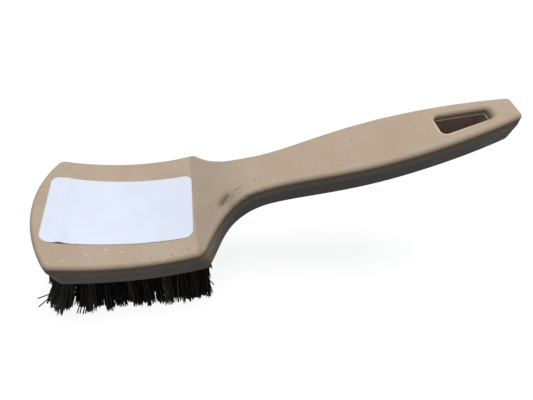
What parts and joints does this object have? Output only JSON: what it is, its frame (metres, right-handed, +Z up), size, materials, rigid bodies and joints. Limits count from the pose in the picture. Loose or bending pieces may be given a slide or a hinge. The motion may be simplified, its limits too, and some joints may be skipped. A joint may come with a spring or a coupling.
{
  "type": "tire brush",
  "caption": "Tire brush: a dished plastic head set with tufts of stiff dark fibre, on a swan-neck handle that tapers to a hanging slot.",
  "frame": {"origin": "middle of the brush's length and width, level with the trimmed bristle tips it stands on", "axes": "+X from the nose of the head to the end of the handle, +Y across the head to the left when looking from the nose to the handle, +Z up from the bristles"},
  "size_m": [0.2314, 0.0704, 0.1027],
  "materials": {
    "beige_plastic": "satin moulded beige plastic with faint pale flecks",
    "label_paper": "smooth white label stock, bare",
    "bristle_fibre": "stiff dark brown plant fibre",
    "anchor_wire": "flat galvanised wire"
  },
  "bodies": {
    "root": {"handle_block": "beige_plastic", "paper_label": "label_paper", "front_outer_bristles": "bristle_fibre", "front_inner_bristles": "bristle_fibre", "rear_inner_bristles": "bristle_fibre", "rear_outer_bristles": "bristle_fibre", "tuft_anchor_01": "anchor_wire", "tuft_anchor_02": "anchor_wire", "tuft_anchor_03": "anchor_wire", "tuft_anchor_04": "anchor_wire", "tuft_anchor_05": "anchor_wire", "tuft_anchor_06": "anchor_wire", "tuft_anchor_07": "anchor_wire", "tuft_anchor_08": "anchor_wire", "tuft_anchor_09": "anchor_wire", "tuft_anchor_10": "anchor_wire", "tuft_anchor_11": "anchor_wire", "tuft_anchor_12": "anchor_wire", "tuft_anchor_13": "anchor_wire", "tuft_anchor_14": "anchor_wire", "tuft_anchor_15": "anchor_wire", "tuft_anchor_16": "anchor_wire", "tuft_anchor_17": "anchor_wire", "tuft_anchor_18": "anchor_wire", "tuft_anchor_19": "anchor_wire", "tuft_anchor_20": "anchor_wire", "tuft_anchor_21": "anchor_wire", "tuft_anchor_22": "anchor_wire", "tuft_anchor_23": "anchor_wire", "tuft_anchor_24": "anchor_wire", "tuft_anchor_25": "anchor_wire", "tuft_anchor_26": "anchor_wire", "tuft_anchor_27": "anchor_wire", "tuft_anchor_28": "anchor_wire", "tuft_anchor_29": "anchor_wire", "tuft_anchor_30": "anchor_wire", "tuft_anchor_31": "anchor_wire", "tuft_anchor_32": "anchor_wire", "tuft_anchor_33": "anchor_wire", "tuft_anchor_34": "anchor_wire", "tuft_anchor_35": "anchor_wire", "tuft_anchor_36": "anchor_wire", "tuft_anchor_37": "anchor_wire", "tuft_anchor_38": "anchor_wire", "tuft_anchor_39": "anchor_wire", "tuft_anchor_40": "anchor_wire", "tuft_anchor_41": "anchor_wire", "tuft_anchor_42": "anchor_wire", "tuft_anchor_43": "anchor_wire", "tuft_anchor_44": "anchor_wire", "tuft_anchor_45": "anchor_wire", "tuft_anchor_46": "anchor_wire", "tuft_anchor_47": "anchor_wire", "tuft_anchor_48": "anchor_wire"}
  },
  "joints": []
}
